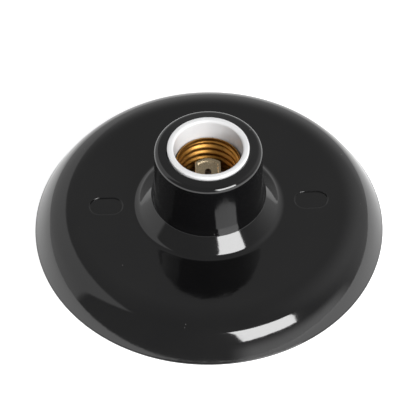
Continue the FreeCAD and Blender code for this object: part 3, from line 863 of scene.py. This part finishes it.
build_cover(PHENOLIC)
build_insert(PORCELAIN)
build_shell(SHELL_BRASS)
build_leaf(CONTACT)
build_rivet("leaf_rivet", "centre_contact_rivet", 0.0, LEAF_RIVET_Y, 22.45, STRAP_LOW, RIVET_BRASS)
build_rivet("shell_rivet_l", "shell_rivet_left", -TERMINAL_X, 0.0, 21.4, STRAP_LOW, RIVET_BRASS)
build_rivet("shell_rivet_r", "shell_rivet_right", TERMINAL_X, 0.0, 21.4, INSERT_BASE, RIVET_BRASS)
build_terminal("line_strap", "line_terminal", TERMINAL_X, 0.0, LINE_Y, 0, TERMINAL_BRASS)
build_terminal("neutral_strap", "neutral_terminal", NEUTRAL_Y, -TERMINAL_X, 0.0, 90, TERMINAL_BRASS)
build_terminal_screw("line_screw", "line_terminal_screw", TERMINAL_X, LINE_Y,
                     TERMINAL_BRASS)
build_terminal_screw("neutral_screw", "neutral_terminal_screw", -TERMINAL_X, NEUTRAL_Y,
                     ZINC)
build_bridge(BRIDGE_STEEL)
for end, y in (("front", -POST_Y), ("back", POST_Y)):
    build_bridge_screw(end, y, ZINC)


# ------------------------------------------------------------------ floor, light and camera

def build_floor():
    """A plain pale sheet on z = 0, in metres."""
    size = 4.0
    count = 8
    mesh = bpy.data.meshes.new("floor")
    verts = [(size * (i / count - 0.5), size * (j / count - 0.5), 0.0)
             for j in range(count + 1) for i in range(count + 1)]
    faces = []
    for j in range(count):
        for i in range(count):
            a = j * (count + 1) + i
            faces.append([a, a + 1, a + count + 2, a + count + 1])
    mesh.from_pydata(verts, [], faces)
    floor = bpy.data.objects.new("floor", mesh)
    bpy.context.scene.collection.objects.link(floor)
    material, nodes, links, shader = new_material("pale_floor")
    tone = ramp(nodes, links, noise(nodes, links, object_coords(nodes), 6, 2), [
        (0.3, grey(0.78)), (0.7, grey(0.80))])
    links.new(tone, shader.inputs["Base Color"])
    shader.inputs["Roughness"].default_value = 0.9
    shader.inputs["Specular IOR Level"].default_value = 0.1
    shader.inputs["Emission Color"].default_value = (1, 1, 1, 1)
    shader.inputs["Emission Strength"].default_value = 0.72
    mesh.materials.append(material)


def build_key_light():
    """A softbox in front of the object, high and to the right, facing its neck."""
    away = Vector((0.452, -0.705, 0.546)).normalized()
    distance = 1.5
    aim = Vector((0, 0, 0.02))
    light = bpy.data.lights.new("key", "AREA")
    light.shape = "RECTANGLE"
    light.size = 0.86
    light.size_y = 0.80
    light.energy = 28
    light.color = (1, 1, 1)
    lamp = bpy.data.objects.new("key", light)
    lamp.location = aim + away * distance
    lamp.rotation_euler = away.to_track_quat("Z", "Y").to_euler()
    bpy.context.scene.collection.objects.link(lamp)


def build_camera():
    """Camera at the front and a little to the left, its axis just above and right of the rim's centre."""
    distance = 0.9
    focal_length = 175.89
    turn = math.radians(-1.65)
    elevation = math.radians(50.38)
    pitch = math.radians(0.391)
    yaw = math.radians(0.032)
    roll = math.radians(-0.59)
    outwards = Vector((math.sin(turn), -math.cos(turn), 0))
    right = Vector((math.cos(turn), math.sin(turn), 0))
    up = Vector((0, 0, math.cos(elevation))) - outwards * math.sin(elevation)
    ahead = Vector((0, 0, -math.sin(elevation))) - outwards * math.cos(elevation)
    place = -ahead * distance
    up, ahead = (up * math.cos(pitch) - ahead * math.sin(pitch),
                 up * math.sin(pitch) + ahead * math.cos(pitch))
    right, ahead = (right * math.cos(yaw) - ahead * math.sin(yaw),
                    right * math.sin(yaw) + ahead * math.cos(yaw))
    x_axis = right * math.cos(roll) + up * math.sin(roll)
    y_axis = up * math.cos(roll) - right * math.sin(roll)
    camera = bpy.data.cameras.new("camera")
    camera.sensor_width = 36.0
    camera.lens = focal_length
    camera.clip_end = 20
    viewer = bpy.data.objects.new("camera", camera)
    matrix = Matrix((x_axis, y_axis, -ahead)).transposed().to_4x4()
    matrix.translation = place
    viewer.matrix_world = matrix
    bpy.context.scene.collection.objects.link(viewer)
    bpy.context.scene.camera = viewer


def build_world():
    """Dim studio: a pale wall low at the back, a panel to the left and soft pale sides."""
    world = bpy.data.worlds.new("studio")
    world.use_nodes = True
    nodes = world.node_tree.nodes
    links = world.node_tree.links
    background = nodes["Background"]
    split = nodes.new("ShaderNodeSeparateXYZ")
    links.new(nodes.new("ShaderNodeTexCoord").outputs["Generated"], split.inputs["Vector"])

    def fade(value, start, stop, low, high):
        """A smooth step from low to high as a value goes from start to stop."""
        node = nodes.new("ShaderNodeMapRange")
        node.interpolation_type = "SMOOTHSTEP"
        for socket, number in zip(("From Min", "From Max", "To Min", "To Max"), (start, stop, low, high)):
            node.inputs[socket].default_value = number
        links.new(value, node.inputs["Value"])
        return node.outputs["Result"]

    def both(kind, first, second):
        """Two values added, multiplied or compared."""
        node = nodes.new("ShaderNodeMath")
        node.operation = kind
        for socket, value in zip(node.inputs, (first, second)):
            if isinstance(value, float):
                socket.default_value = value
            else:
                links.new(value, socket)
        return node.outputs["Value"]

    x, y, z = (split.outputs[axis] for axis in "XYZ")
    # the wall at the back, brightest near the floor
    low = fade(z, 0.72, 0.12, 0.0, 1.0)
    back = both("MULTIPLY", fade(y, 0.3, 0.75, 0.0, 0.55), low)
    # the soft side to the right
    right = both("MULTIPLY", fade(x, 0.1, 0.75, 0.0, 0.42), fade(y, -0.5, 0.5, 0.0, 1.0))
    # the panel to the left, cut off by a leaning edge
    steep = both("ADD", both("MULTIPLY", x, 1.9), z)
    left = both("MULTIPLY", fade(steep, 0.06, -0.06, 0.0, 0.58), fade(y, -0.17, -0.09, 0.0, 1.0))
    # light spilling low from the right of the front
    spill = both("MULTIPLY", fade(x, 0.12, 0.4, 0.0, 1.2), fade(z, 0.32, 0.05, 0.0, 1.0))
    spill = both("MULTIPLY", spill, fade(y, 0.1, -0.4, 0.0, 1.0))
    glow = both("MAXIMUM", both("MAXIMUM", back, right), both("MAXIMUM", left, spill))
    # the ceiling, a little brighter towards the back
    overhead = fade(y, -0.2, 0.7, 0.27, 0.33)
    links.new(both("ADD", overhead, glow), background.inputs["Strength"])
    background.inputs["Color"].default_value = (1.0, 1.0, 1.0, 1)
    bpy.context.scene.world = world


build_floor()
build_world()
build_key_light()
bpy.context.scene.view_settings.view_transform = "Standard"
build_camera()
